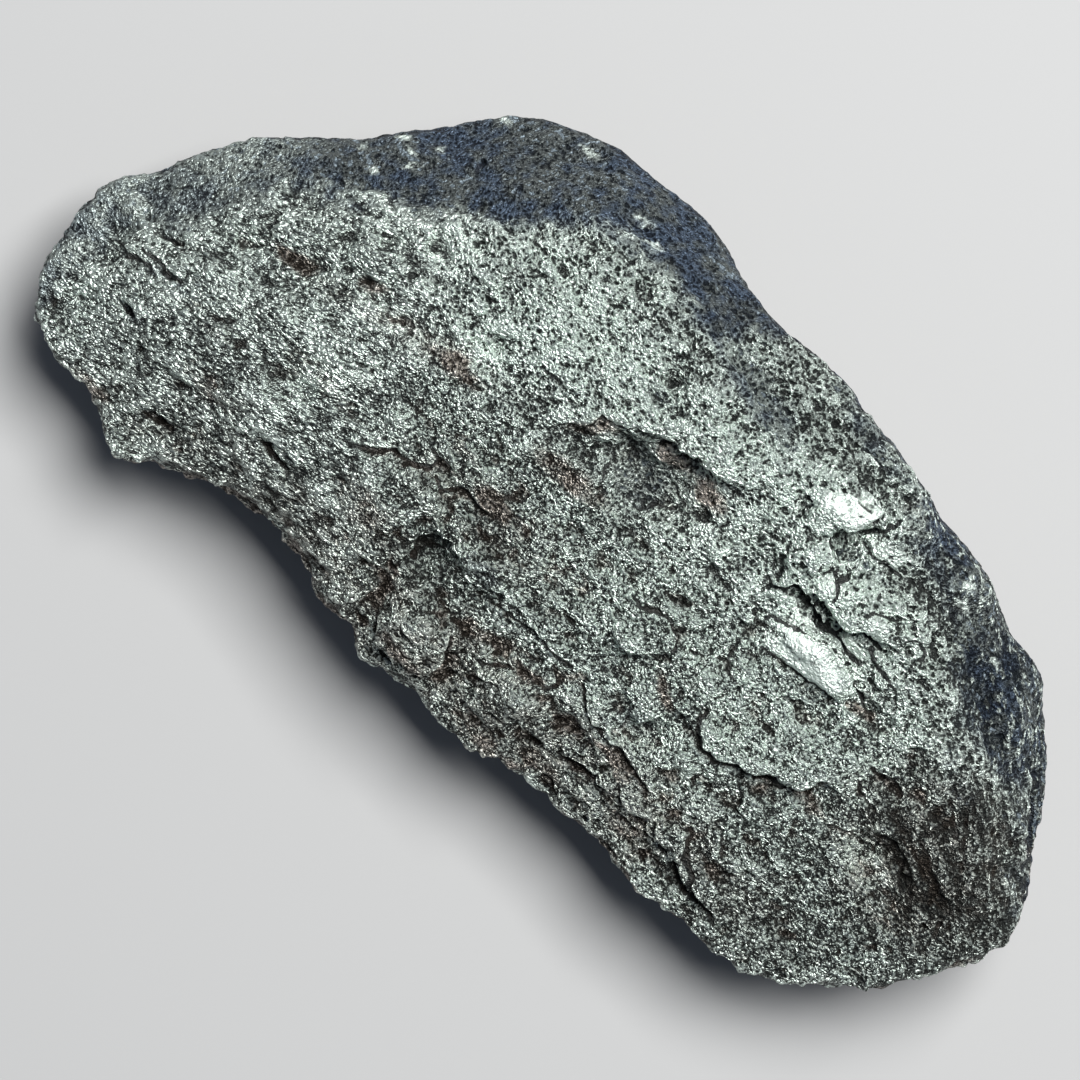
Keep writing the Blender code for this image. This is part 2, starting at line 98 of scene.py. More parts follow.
def neighbour_mean(values, edges):
    """Mean of each point's neighbours, along the mesh's edges."""
    first, second = edges.T
    count = len(values)
    shares = np.bincount(first, minlength=count) + np.bincount(second, minlength=count)
    columns = values.reshape(count, -1).T
    sums = [np.bincount(first, c[second], count) + np.bincount(second, c[first], count) for c in columns]
    return (np.array(sums) / shares).T.reshape(values.shape)


def smooth(values, edges, rounds, give=0.5, take=0.52):
    """Even out values over the surface, and take back some of what each round shrinks them."""
    for _ in range(rounds):
        values = values + give * (neighbour_mean(values, edges) - values)
        if take:
            values = values - take * (neighbour_mean(values, edges) - values)
    return values


def ease(value, start, full):
    """Smooth step that is 0 at the start value and 1 at the full one."""
    part = np.clip((value - start) / (full - start), 0.0, 1.0)
    return part * part * (3.0 - 2.0 * part)


def chance(cell, seed):
    """A fixed number from 0 to 1 for each whole-numbered cell of space."""
    mix = np.uint32(seed * SEED_SCATTER)
    for axis, scatter in enumerate(SCATTER):
        mix = mix ^ cell[..., axis].astype(np.uint32) * np.uint32(scatter)
    for _ in range(2):
        mix = (mix ^ (mix >> np.uint32(15))) * np.uint32(MIXER)
    mix = mix ^ (mix >> np.uint32(13))
    return mix / HIGHEST


def chances(cell, seeds):
    """Three fixed numbers from 0 to 1 for each cell, one for each seed."""
    return np.array([chance(cell, seed) for seed in seeds]).T


def waves(place, seed):
    """Smooth random heights from about -1 to 1, one hill or dip to each unit of distance."""
    seeds = [seed + SEED_STEP * axis for axis in range(3)]
    cell = np.floor(place).astype(np.int64)
    inside = place - cell
    fade = inside ** 3 * (inside * (inside * 6.0 - 15.0) + 10.0)
    total = np.zeros(len(place))
    for corner in product((0, 1), repeat=3):
        leans = 2.0 * chances(cell + corner, seeds) - 1.0
        height = (leans * (inside - corner)).sum(axis=1)
        total += height * np.where(corner, fade, 1.0 - fade).prod(axis=1)
    return WAVE_GAIN * total


def mixed(place, layers, folded=False):
    """Waves over waves: the height, size and seed of each layer. Folding turns its dips into hills."""
    total = np.zeros(len(place))
    for height, size, seed in layers:
        layer = waves(place / size, seed)
        total += height * (np.abs(layer) if folded else layer)
    return total


def plates(place, seed):
    """Flat plates, one to a unit cell: the height of each one's leaning face, and how far off its rim is."""
    places = [seed + SEED_STEP * number for number in (0, 1, 2)]
    leans = [seed + SEED_STEP * number for number in (3, 4, 5)]
    cell = np.floor(place).astype(np.int64)
    nearest = np.full(len(place), np.inf)
    second = np.full(len(place), np.inf)
    level = np.zeros(len(place))
    for step in product((-1, 0, 1), repeat=3):
        home = cell + step
        offset = place - home - chances(home, places)
        away = np.linalg.norm(offset, axis=1)
        lean = chances(home, leans) - 0.5
        face = chance(home, seed + 7 * SEED_STEP) - 0.5 + (lean * offset).sum(axis=1)
        nearer = away < nearest
        second = np.where(nearer, nearest, np.minimum(second, away))
        level = np.where(nearer, face, level)
        nearest = np.where(nearer, away, nearest)
    return level, second - nearest


lump_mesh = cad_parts["meteorite"].data.copy()
weld = bmesh.new()
weld.from_mesh(lump_mesh)
bmesh.ops.remove_doubles(weld, verts=weld.verts, dist=MERGE_GAP * MM)
weld.to_mesh(lump_mesh)
weld.free()
lump = bpy.data.objects.new("iron_meteorite", lump_mesh)
bpy.context.scene.collection.objects.link(lump)

# The lump gets an even mesh with its facets worn off, and then one of half that size
work(lump, "REMESH", mode="VOXEL", voxel_size=FORMING_MESH * MM)
points, normals, edges = read(lump.data)
write(lump.data, smooth(points, edges, FACET_ROUNDS))
work(lump, "SUBSURF", levels=1, render_levels=1)
points, normals, edges = read(lump.data)

# The camera looks straight down from this height. Places on the worn face are given as they are seen from
# there, on the plane halfway up the rim, where the seen middle is straight below the camera.
EYE = np.array([-2.108, -6.83, 400.0])
SEEN_MIDDLE = np.array([-2.558, -7.13])
SEEN_PLANE = 12.0


def seen_from_above(points):
    """Where each point is seen from the camera, on the plane halfway up the rim."""
    scale = (EYE[2] - SEEN_PLANE) / (EYE[2] - points[:, 2])
    return (SEEN_MIDDLE + (points[:, :2] - EYE[:2]) * scale[:, None]).T


def ovals(u, v, rows):
    """The last number of each oval in a table, with each point's distance from its middle, 1 on its rim."""
    for middle_u, middle_v, half_length, half_width, turn, number in rows:
        angle = np.radians(turn)
        along = (u - middle_u) * np.cos(angle) + (v - middle_v) * np.sin(angle)
        across = (v - middle_v) * np.cos(angle) - (u - middle_u) * np.sin(angle)
        yield number, np.hypot(along / half_length, across / half_width)


def strongest(u, v, rows, rim, raggedness=0.0):
    """The greatest strength of any oval at each point. Each one fades out over its rim."""
    most = np.zeros(len(u))
    for strength, away in ovals(u, v, rows):
        most = np.maximum(most, strength * (1.0 - ease(away + raggedness, *rim)))
    return most


def route(u, v, path):
    """Distance from a path, more than 0 on the left of it, and how far along it, from 0 to 1."""
    nearest = np.full(len(u), np.inf)
    left = np.zeros(len(u))
    share = np.zeros(len(u))
    legs = list(zip(path[:-1], path[1:]))
    for number, ((u0, v0), (u1, v1)) in enumerate(legs):
        du = u1 - u0
        dv = v1 - v0
        part = np.clip(((u - u0) * du + (v - v0) * dv) / (du * du + dv * dv), 0.0, 1.0)
        away = np.hypot(u - u0 - part * du, v - v0 - part * dv)
        nearer = away < nearest
        nearest = np.where(nearer, away, nearest)
        left = np.where(nearer, np.sign(du * (v - v0) - dv * (u - u0)), left)
        share = np.where(nearer, (number + part) / len(legs), share)
    return nearest * left, share


# Ledges: the path of each step's foot, its height, more than 0 where the left of the path stands up, how far
# back the raised ground reaches, and the depth of the cleft at its foot
LEDGES = [
    ([(20.6, 7.0), (20.9, 8.1), (20.0, 9.3), (18.9, 9.8), (18.4, 11.0), (18.7, 12.3), (20.2, 13.2),
      (21.1, 14.3), (21.3, 15.2), (20.5, 16.0)], 0.8, 3.5, 0.7),
    ([(19.6, 12.2), (21.5, 13.3), (22.5, 14.4), (23.0, 15.3), (23.8, 16.2)], -0.35, 3.0, 0.8),
    ([(-9.0, 1.8), (-8.3, 2.6), (-6.5, 4.6), (-5.6, 5.8), (-3.5, 6.2), (-2.2, 7.2), (-1.0, 7.9), (0.6, 8.3),
      (4.0, 8.4), (8.0, 8.3), (10.5, 8.8)], 0.3, 5.0, 0.05),
    ([(-2.7, 5.8), (-2.4, 3.5), (-1.9, 2.0), (-0.8, 0.2)], -0.25, 2.0, 0.0),
    ([(3.0, 0.2), (3.4, 1.2), (4.2, 2.4), (5.6, 3.3), (6.3, 4.2), (5.7, 5.6), (6.0, 7.0)], -0.3, 2.0, 0.0),
    ([(16.0, 4.4), (17.5, 3.7), (18.6, 4.1), (18.8, 5.2), (19.6, 5.6), (20.6, 5.1), (22.0, 5.3), (23.4, 5.0),
      (24.2, 5.2), (25.3, 4.5), (25.7, 5.3), (26.7, 5.9), (29.3, 5.6), (30.2, 5.0)], 0.8, 2.4, 0.7),
    ([(20.5, 4.7), (22.0, 4.7), (23.5, 4.2), (25.0, 4.0), (26.0, 3.6), (27.5, 3.1), (29.9, 2.8)],
     0.3, 1.3, 0.7),
    ([(28.9, 5.3), (29.5, 4.3), (30.5, 4.0), (32.0, 3.7), (33.4, 3.0)], 0.3, 1.6, 0.6),
    ([(23.6, 2.3), (25.5, 1.9), (27.0, 1.5), (28.3, 0.9), (29.8, 0.5), (31.4, 0.2), (33.0, -0.4)],
     -0.55, 2.0, 0.9),
    ([(19.0, 0.2), (19.5, 1.3), (20.8, 1.2), (22.3, 1.6), (23.3, 2.3)], -0.25, 1.8, 0.4),
    ([(19.6, -1.7), (22.0, -1.5), (24.5, -1.2), (27.0, -1.0), (30.4, -1.4)], 0.35, 2.2, 0.35),
    ([(22.9, 9.0), (22.6, 7.4), (23.4, 6.2)], 0.3, 1.4, 0.8),
    ([(26.2, 6.4), (26.9, 7.6), (28.4, 8.1), (29.8, 7.8)], -0.3, 1.4, 0.3),
    ([(21.2, 12.4), (23.3, 12.0), (25.4, 12.2), (27.2, 11.8)], 0.2, 1.2, 0.2),
    ([(30.5, 7.1), (31.2, 7.9), (32.4, 8.2), (33.4, 7.4), (33.0, 6.4)], 0.35, 1.2, 0.4),
    ([(7.2, -5.9), (10.0, -5.6), (11.5, -5.4), (13.0, -5.8), (13.9, -6.1), (14.2, -7.0), (14.7, -7.8)],
     -0.5, 4.0, 0.5),
    ([(18.3, -1.8), (18.4, -4.2), (19.0, -4.9), (19.6, -5.7), (22.4, -6.0)], 0.25, 2.0, 0.2),
    ([(19.8, -7.4), (20.4, -9.5), (20.6, -11.2), (21.4, -12.1), (22.4, -13.0), (24.0, -12.9), (24.9, -12.4),
      (26.0, -11.4), (27.5, -11.3), (28.6, -10.4), (30.4, -10.5), (31.3, -9.7), (32.2, -9.4), (32.8, -8.4),
      (34.0, -8.1), (36.4, -8.0)], 0.8, 3.0, 0.6),
    ([(35.6, -3.9), (38.5, -3.9), (40.4, -4.3)], 0.25, 2.0, 0.3),
    ([(36.2, -5.5), (36.7, -6.3), (38.7, -6.4)], 0.25, 1.6, 0.3),
    ([(36.4, -12.0), (37.0, -10.8), (38.2, -10.1), (40.0, -9.8), (40.4, -8.7), (41.5, -8.3), (43.0, -8.4),
      (45.0, -9.4), (46.5, -10.4), (47.8, -12.0), (48.4, -13.6)], 0.15, 2.4, 0.1),
    ([(9.0, -15.3), (10.0, -15.4), (10.8, -16.3), (12.3, -17.3), (15.0, -17.7), (17.0, -18.2), (19.4, -19.0),
      (22.8, -19.3)], 0.4, 2.4, 0.4),
    ([(11.6, -22.1), (13.0, -21.5), (15.6, -21.2), (16.4, -20.7)], 0.4, 2.0, 0.5),
    ([(18.5, -20.1), (18.9, -21.2), (20.0, -22.0)], 0.2, 1.5, 0.4),
    ([(22.8, -20.6), (24.2, -22.0), (25.5, -22.3), (26.9, -22.2), (27.4, -23.1), (28.3, -24.1), (29.5, -24.7),
      (30.7, -24.6), (33.3, -25.2), (34.6, -26.1)], 0.4, 2.2, 0.7),
    ([(26.1, -19.5), (26.9, -21.0), (27.5, -21.7), (28.9, -23.0), (29.9, -24.6)], -0.25, 1.6, 0.6),
    ([(28.4, -17.6), (29.5, -19.0), (30.4, -19.8)], -0.2, 1.4, 0.3),
    ([(-3.6, -19.4), (-2.9, -20.6), (-2.8, -22.0), (-3.2, -23.4), (-4.2, -25.4)], -0.5, 2.2, 0.5),
    ([(-10.5, -21.9), (-9.2, -23.3), (-8.0, -24.2), (-6.3, -25.0), (-4.0, -25.7)], 0.7, 3.0, 0.9),
    ([(-24.2, -12.0), (-22.6, -11.6), (-21.0, -10.6), (-19.7, -9.9), (-19.0, -9.0), (-17.2, -8.9),
      (-15.6, -8.3), (-15.1, -7.3), (-16.5, -6.3)], 0.4, 2.2, 0.45),
    ([(-14.8, -8.2), (-12.8, -8.9), (-11.8, -8.1), (-9.5, -8.3), (-6.6, -8.5)], 0.3, 2.0, 0.5),
    ([(-6.0, -3.8), (-6.3, -5.4), (-7.6, -6.4), (-7.8, -7.9)], 0.25, 1.6, 0.2),
    ([(-2.6, -13.2), (-1.2, -14.3), (0.4, -14.6), (2.2, -14.1), (5.0, -14.3), (7.4, -14.7), (8.8, -15.5)],
     0.3, 2.4, 0.35),
    ([(2.6, -17.5), (4.7, -17.4), (6.8, -17.8), (7.7, -16.6)], 0.35, 2.0, 0.4),
    ([(-0.4, -19.9), (1.2, -19.3), (2.5, -18.3), (3.6, -18.2)], 0.25, 1.2, 0.35),
    ([(0.2, -21.0), (2.0, -20.8), (3.6, -20.2)], 0.25, 1.2, 0.35),
    ([(-52.4, -10.2), (-49.0, -10.3), (-47.4, -10.6)], 0.3, 1.8, 0.3),
    ([(-49.6, -9.2), (-46.8, -9.6), (-44.6, -9.3)], 0.3, 1.6, 0.3),
    ([(47.4, 5.9), (50.0, 2.8), (51.8, 0.5), (53.6, -1.6)], -0.3, 1.2, 0.9),
    ([(49.8, 2.0), (52.2, -0.8), (54.2, -3.4)], -0.25, 1.0, 0.7),
    ([(43.4, -0.9), (45.5, -3.0), (46.6, -4.2)], 0.2, 1.6, 0.35),
    ([(46.2, -1.4), (47.5, -4.0), (48.8, -6.2)], 0.2, 1.6, 0.35),
    ([(44.0, -6.2), (45.7, -7.3), (47.8, -8.6), (50.0, -9.9)], 0.2, 1.8, 0.35),
    ([(50.3, -11.3), (51.4, -13.3)], 0.1, 0.8, 0.5),
    ([(-29.9, 18.0), (-29.9, 17.0), (-29.6, 16.1)], -0.2, 1.0, 0.6),
]
LEDGE_GAIN = 1.3
LEDGE_FACE = 0.25
LEDGE_END = 0.15
CLEFT_HALF_WIDTH = 0.28
CLEFT_SHARE = 0.65
FAINTEST_CRACK = 0.3
NO_CRACK = 9.0

# Pits: middle, half-length, half-width, turn and depth
PITS = [
    (-35.3, 3.6, 0.8, 1.1, 0.0, 0.6), (-32.4, 6.3, 1.2, 0.7, 20.0, 0.6), (-28.4, 8.8, 1.1, 1.0, 0.0, 0.4),
    (-25.0, 11.2, 0.9, 0.8, 30.0, 0.6), (-28.2, 5.1, 0.5, 0.5, 0.0, 0.35), (-42.0, 0.8, 1.0, 1.7, 0.0, 0.5),
    (-36.0, 7.0, 1.4, 0.7, 10.0, 0.3), (-26.8, 11.3, 0.9, 0.6, -20.0, 0.4),
    (-17.3, 14.4, 1.3, 0.8, -35.0, 0.7), (-19.7, 14.7, 0.45, 0.4, 0.0, 0.5),
    (-13.3, 12.9, 1.0, 0.9, 0.0, 0.4), (-9.3, 12.5, 1.1, 0.5, -8.0, 0.5),
    (-10.8, 10.8, 1.4, 0.9, 30.0, 0.45), (-5.0, 11.8, 0.9, 0.45, 0.0, 0.4),
    (-2.4, 12.8, 1.1, 1.0, 0.0, 0.6), (-2.0, 10.9, 0.9, 0.6, 20.0, 0.4), (7.1, 11.3, 0.8, 1.3, 0.0, 0.45),
    (-18.5, 3.6, 1.1, 0.4, -10.0, 0.6), (8.4, 13.3, 0.7, 0.5, 30.0, 0.35),
    (-21.2, 7.8, 0.7, 0.5, 10.0, 0.4), (-11.3, 4.8, 0.8, 0.6, 0.0, 0.3), (-42.5, -2.7, 1.6, 0.7, 15.0, 0.7),
    (-48.3, -6.7, 1.5, 0.6, 18.0, 0.7), (-51.4, -6.6, 1.0, 0.5, -10.0, 0.5),
    (-47.3, -14.9, 1.4, 0.5, 0.0, 0.7), (-38.7, -21.1, 2.2, 0.5, 4.0, 0.7),
    (-28.0, -16.7, 2.2, 0.6, -8.0, 0.7), (-53.3, -18.7, 0.6, 0.6, 0.0, 0.25),
    (-53.4, -15.7, 1.1, 0.35, 20.0, 0.3), (-46.5, -9.9, 1.6, 0.4, 4.0, 0.4),
    (-10.8, -14.9, 1.6, 1.0, 28.0, 0.5), (-11.4, -16.6, 0.7, 2.0, -12.0, 0.7),
    (-5.0, -12.9, 1.0, 0.6, 10.0, 0.3), (-10.8, -11.0, 0.6, 1.1, 10.0, 0.4),
    (-8.6, -11.4, 1.1, 0.5, 0.0, 0.3), (21.2, 11.0, 2.2, 1.7, 0.0, 0.4), (20.9, 13.6, 0.7, 1.7, -38.0, 0.8),
    (23.6, 4.0, 2.2, 0.7, -14.0, 0.6), (25.3, 7.2, 0.4, 0.6, -10.0, 0.6), (33.0, 9.2, 1.1, 1.0, 20.0, 0.7),
    (31.7, 6.7, 0.8, 0.7, 40.0, 0.6), (34.4, 10.0, 0.4, 0.9, 10.0, 0.4), (23.4, -6.4, 0.6, 0.4, 0.0, 0.4),
    (33.0, -9.0, 1.4, 0.6, 40.0, 0.5), (16.4, -14.7, 1.7, 0.9, 40.0, 0.5),
    (14.9, -15.7, 0.8, 0.5, 60.0, 0.4), (14.2, -21.8, 1.9, 0.5, 10.0, 0.6),
    (49.5, -12.8, 0.45, 0.5, 0.0, 0.6), (51.4, -11.5, 0.35, 0.5, 0.0, 0.6),
    (50.3, -11.7, 0.3, 0.5, 30.0, 0.5), (44.4, 1.2, 1.3, 0.7, -30.0, 0.4),
    (48.6, -16.4, 0.6, 0.5, 0.0, 0.4), (47.0, -17.5, 0.8, 0.4, 20.0, 0.4),
    (44.7, -19.8, 0.5, 0.5, 0.0, 0.4), (43.0, -17.1, 0.5, 0.25, 10.0, 0.4),
    (40.0, -21.6, 1.4, 0.4, 10.0, 0.3), (1.7, -6.6, 0.5, 0.4, 0.0, 0.3), (-31.0, 2.0, 0.9, 0.4, 20.0, 0.4),
    (-38.4, -1.1, 1.8, 0.6, 5.0, 0.4), (-29.6, 0.8, 1.2, 0.5, 10.0, 0.4),
    (-44.3, -17.0, 1.0, 0.4, 0.0, 0.4),
]
PIT_WALL = (0.2, 1.2)

# Smooth skins of metal, painted lighter: partly bare smooth metal, partly painted highlights where they face
# the lamp. Middle, half-length, half-width, turn and how far the grain is wiped out
SKINS_AND_PAINTED_HIGHLIGHTS = [
    (24.6, 0.2, 4.4, 1.5, -12.0, 1.0), (21.6, 3.5, 2.2, 0.6, -12.0, 0.6), (18.7, 14.4, 2.9, 1.3, 24.0, 0.9),
    (28.2, 3.9, 1.7, 0.8, -12.0, 0.8), (24.3, 13.1, 2.2, 0.8, 6.0, 0.5), (21.9, 6.8, 1.1, 0.8, 0.0, 0.6),
    (27.9, 6.8, 1.6, 0.7, -6.0, 0.5), (43.0, -11.3, 2.2, 0.6, -34.0, 0.7),
    (-28.4, -15.7, 0.8, 0.4, -10.0, 0.8), (22.0, -0.8, 2.2, 0.7, 4.0, 0.5),
    (-33.2, -13.7, 1.2, 0.5, -20.0, 0.6), (-37.3, 14.8, 0.7, 0.4, 10.0, 1.0),
    (-33.8, 16.0, 0.5, 0.3, 0.0, 1.0), (-35.7, 14.2, 0.5, 0.3, 0.0, 0.9),
    (-35.0, 12.9, 0.6, 0.3, 30.0, 0.8), (-30.6, 22.2, 0.5, 0.4, 0.0, 0.8),
    (-37.2, 10.3, 0.5, 0.3, 0.0, 0.8), (-39.8, 11.6, 0.5, 0.4, 40.0, 0.7),
    (-14.0, 23.0, 1.2, 0.4, 0.0, 0.7), (-12.0, 21.7, 1.1, 0.3, 6.0, 0.7), (-14.6, 20.8, 0.6, 0.3, 0.0, 0.6),
    (32.8, 13.3, 0.9, 0.35, -38.0, 0.8), (31.8, 14.7, 0.8, 0.25, -12.0, 0.7),
    (-22.4, 24.8, 1.1, 0.4, 0.0, 0.6), (42.8, 2.9, 0.6, 0.3, -50.0, 0.7), (44.9, 2.2, 0.8, 0.3, 0.0, 0.7),
    (38.6, 11.0, 0.8, 0.3, -20.0, 0.7), (46.8, 2.2, 0.7, 0.3, 0.0, 0.6),
]
SKIN_RIM = (0.75, 1.1)

# Brown stains: middle, half-length, half-width, turn and strength
STAINS = [
    (-38.0, -1.1, 2.6, 0.8, 6.0, 0.9), (-30.2, 1.7, 1.6, 0.7, 20.0, 0.8), (-19.5, 0.8, 3.2, 1.1, 0.0, 0.9),
    (-8.2, -7.4, 3.0, 1.2, -10.0, 0.9), (2.5, 7.4, 2.8, 0.8, 0.0, 0.8), (7.4, 6.6, 2.2, 1.2, -20.0, 1.0),
    (-5.6, 4.6, 2.6, 0.9, 40.0, 0.9), (-4.0, -0.6, 5.0, 1.4, 0.0, 0.7), (16.2, -19.2, 3.0, 0.8, -10.0, 0.9),
    (4.9, -17.7, 2.4, 0.6, 0.0, 0.9), (31.6, -0.6, 1.8, 0.6, 10.0, 1.0),
    (15.8, -10.8, 2.2, 0.7, -35.0, 0.8), (-14.0, -4.8, 3.0, 0.8, -6.0, 0.5),
    (-1.8, -17.8, 2.6, 1.1, 0.0, 0.7), (-5.6, -23.6, 3.0, 1.2, -10.0, 0.8),
    (-2.0, -22.5, 1.2, 2.2, 0.0, 0.8), (-16.5, -15.5, 6.0, 2.6, -10.0, 0.5),
    (-36.0, -15.6, 5.0, 1.6, 0.0, 0.4), (-28.0, -8.6, 7.0, 1.2, -4.0, 0.3),
    (-40.5, -11.0, 5.0, 1.2, 0.0, 0.3), (33.2, -10.4, 2.6, 0.9, -10.0, 0.7),
    (22.5, -23.4, 5.0, 1.6, -8.0, 0.6), (6.0, -25.6, 7.0, 1.2, 0.0, 0.7),
    (-45.5, -22.6, 3.0, 0.8, -10.0, 0.7), (28.4, -12.0, 1.2, 1.4, 0.0, 0.5),
    # The long stain along the low edge is partly rust and partly a painted brown reflection and painted shade
    (0.0, -22.0, 54.0, 7.0, 0.0, 0.40), (46.0, -8.0, 12.0, 11.0, 0.0, 0.45),
    (-8.0, -9.0, 14.0, 5.0, 0.0, 0.35), (-26.0, 0.0, 12.0, 2.0, 10.0, 0.35), (2.0, 5.0, 7.0, 5.0, 0.0, 0.3),
    (11.0, -24.0, 4.0, 1.4, 0.0, 0.6), (23.6, 17.6, 1.6, 1.6, 0.0, 0.3),
]
STAIN_RIM = (0.3, 1.5)

# Swells and dips, which reach round the sides too: middle, half-length, half-width, turn and height
SWELLS = [
    (32.8, 15.6, 4.0, 2.4, -22.0, 1.1), (42.0, 12.0, 2.6, 2.0, -30.0, 0.4),
    (37.5, 10.6, 3.0, 1.3, -32.0, 0.5), (40.0, 8.0, 7.0, 1.2, -33.0, -0.5),
    (36.0, 6.4, 3.4, 1.2, -36.0, 0.5), (-24.0, 12.6, 3.0, 1.2, 28.0, 0.3),
    (-35.0, 0.4, 6.0, 1.2, 20.0, -0.35), (-24.0, 1.6, 5.0, 1.3, 8.0, -0.4),
    (-36.0, -6.0, 7.0, 1.6, 8.0, 0.35), (-33.0, -10.4, 7.0, 1.2, 0.0, -0.35),
    (-30.0, -13.4, 5.0, 1.4, 6.0, 0.4), (-36.0, -17.0, 6.0, 1.2, 0.0, -0.3),
    (-9.0, -8.0, 4.0, 2.0, 0.0, -0.5), (-14.0, -10.6, 4.0, 1.5, -10.0, 0.35),
    (8.0, -9.0, 4.0, 2.2, 0.0, 0.3), (16.6, -10.4, 2.4, 1.4, -50.0, -0.5),
    (23.0, -9.6, 3.4, 2.2, 0.0, 0.45), (30.0, -12.6, 2.2, 1.8, 0.0, -0.5),
    (-2.0, -17.6, 2.6, 1.4, 0.0, -0.4), (4.6, -20.4, 3.4, 1.4, 0.0, 0.4), (-6.4, -21.4, 2.6, 1.8, 0.0, 0.4),
    (16.0, -16.0, 3.0, 1.2, 30.0, -0.35), (19.8, 11.2, 1.1, 1.1, 0.0, 0.7),
    (43.8, -10.3, 3.8, 1.5, -24.0, 1.0), (45.2, -8.4, 4.6, 1.3, -24.0, -0.6),
    (1.0, 6.8, 3.6, 1.0, 4.0, 0.35), (-6.5, -20.6, 3.6, 2.6, -20.0, 0.4), (4.5, -21.4, 3.4, 2.2, 0.0, 0.4),
    (-2.0, -22.0, 1.0, 3.6, 10.0, -0.6), (-12.0, -19.0, 1.0, 3.6, 15.0, -0.6),
    (11.0, -19.6, 4.6, 1.0, -8.0, -0.5), (0.6, -17.6, 5.0, 1.0, 12.0, -0.4),
]
SWELL_GAIN = 1.4

# Painted shading: middle, half-length, half-width, turn and strength, painted shade where it is more than 0
# and painted light where it is less than 0
PAINTED_SHADING = [
    (1.2, 4.4, 5.6, 3.4, -8.0, 0.50), (48.5, -6.0, 10.0, 11.0, 0.0, 0.95),
    (12.0, -2.0, 7.0, 5.0, 0.0, -0.25), (38.0, -16.0, 14.0, 9.0, 0.0, 0.30),
    (0.0, -25.0, 52.0, 4.0, 0.0, 0.30), (-14.0, -15.0, 16.0, 6.0, 0.0, 0.20),
    (-10.6, -15.0, 2.4, 3.2, -20.0, 0.8), (24.0, 0.6, 4.6, 2.0, -10.0, -0.6),
    (12.0, 11.0, 8.0, 5.0, 0.0, -0.4), (41.6, -12.2, 4.6, 2.2, -28.0, -1.6),
    (-4.0, -8.0, 10.0, 6.0, 0.0, 0.05), (10.0, 20.0, 12.0, 4.0, -8.0, 0.60),
    (-8.0, 0.0, 9.0, 4.0, 0.0, 0.25), (24.0, 5.0, 7.0, 4.0, 0.0, -0.25), (-13.0, 9.0, 9.0, 5.0, 0.0, -0.4),
    (27.0, -8.0, 7.0, 5.0, 0.0, -0.6), (37.0, 12.0, 10.0, 5.0, -33.0, 0.8),
    (20.0, -16.0, 6.0, 4.0, 0.0, -0.4), (19.2, 11.1, 0.7, 1.3, 12.0, 0.8),
    (21.4, 13.9, 0.5, 1.5, -38.0, 1.4), (22.3, 4.2, 2.6, 0.5, -14.0, 1.0),
]
PAINTED_SHADING_RIM = (0.4, 1.6)

# Cool patches inside the worn face, crust with a painted dark blue reflection as on the bevels: middle,
# half-length, half-width, turn and strength
COOL_PATCHES = [
    (5.0, 17.0, 6.5, 1.6, -14.0, 0.75), (16.0, 20.6, 5.0, 1.2, -16.0, 0.6),
    (31.0, 13.6, 5.0, 1.0, -30.0, 0.5), (41.0, 7.6, 9.0, 1.7, -35.0, 1.0),
    (29.0, 17.6, 6.0, 1.2, -24.0, 0.9), (23.4, 10.6, 3.0, 1.0, -6.0, 0.4), (1.4, 3.6, 2.6, 3.0, 0.0, 0.45),
    (-2.6, 10.8, 1.2, 1.0, 0.0, 0.4), (-46.0, -10.5, 3.4, 0.8, 0.0, 0.4),
    (-47.0, -14.8, 2.2, 0.7, 0.0, 0.4), (43.0, 0.8, 3.4, 1.4, -40.0, 0.3),
    (15.6, -15.2, 2.2, 1.1, 30.0, 0.4), (-5.0, -13.0, 2.0, 0.8, 0.0, 0.3),
]
COOL_RIM = (0.5, 1.4)

# Where the cool, dark bevels begin, from the left tip to the right end
BEVEL_START = [
    (-53.6, -21.0), (-54.0, -14.5), (-52.8, -10.0), (-49.6, -7.2), (-47.2, -4.6), (-46.0, -1.4), (-44.0, 1.4),
    (-42.4, 4.4), (-38.0, 6.8), (-34.6, 8.9), (-31.4, 9.4), (-29.2, 11.0), (-26.4, 13.2), (-23.6, 14.6),
    (-21.2, 16.8), (-18.6, 18.7), (-15.0, 20.2), (-11.0, 20.5), (-7.6, 19.9), (-4.6, 18.9), (-2.0, 18.6),
    (0.4, 20.2), (2.6, 22.4), (4.6, 24.4), (20.8, 21.6), (23.2, 19.4), (23.6, 16.6), (27.0, 15.2),
    (31.0, 14.2), (34.4, 12.0), (36.6, 8.4), (39.6, 6.0), (42.6, 4.6), (46.4, 4.6), (49.0, 2.8),
    (51.2, 0.0), (54.0, -3.6), (57.0, -6.4),
]

# Waves that unsettle the edges of all these: height, size and seed
WANDERING_U = [(0.45, 2.4, 11), (0.20, 0.8, 12)]
WANDERING_V = [(0.45, 2.4, 13), (0.20, 0.8, 14)]
PATCHES = [(0.7, 7.0, 43), (0.4, 3.0, 44)]
RAGGED_SIZE = 0.9

# Where each kind of ground starts or fades along the lump, or across it, as seen from above
SOFT_BEVEL = (16.0, 28.0)
THIN_CRUST = (-40.0, -50.0)
DRAWN_OUT = (16.0, 32.0)
TORN_FROM = (-2.0, 16.0)
TORN_TO = (33.0, 42.0)
LAYERED_FROM = (34.0, 43.0)
CALM_FROM = (24.0, 34.0)
CALM_BELOW = (-2.0, -10.0)
KNOBBLY_FROM = (16.0, 26.0)
SEAMS_ABOVE = (-4.0, 0.0)
CRUMBLED_TO = (-3.0, 6.0)

# How far up a face looks, from 1 for straight up, where the marks of the worn face start and are full, and
# the same for swells, for the far side's crust, and for where all crust thins out underneath
FACING_UP = (0.15, 0.55)
UPRIGHT = (0.1, 0.5)
SWELLS_FROM = (-0.4, 0.0)
FAR_CRUST_FROM = (-0.5, 0.0)
CRUST_FROM = (-0.4, 0.1)


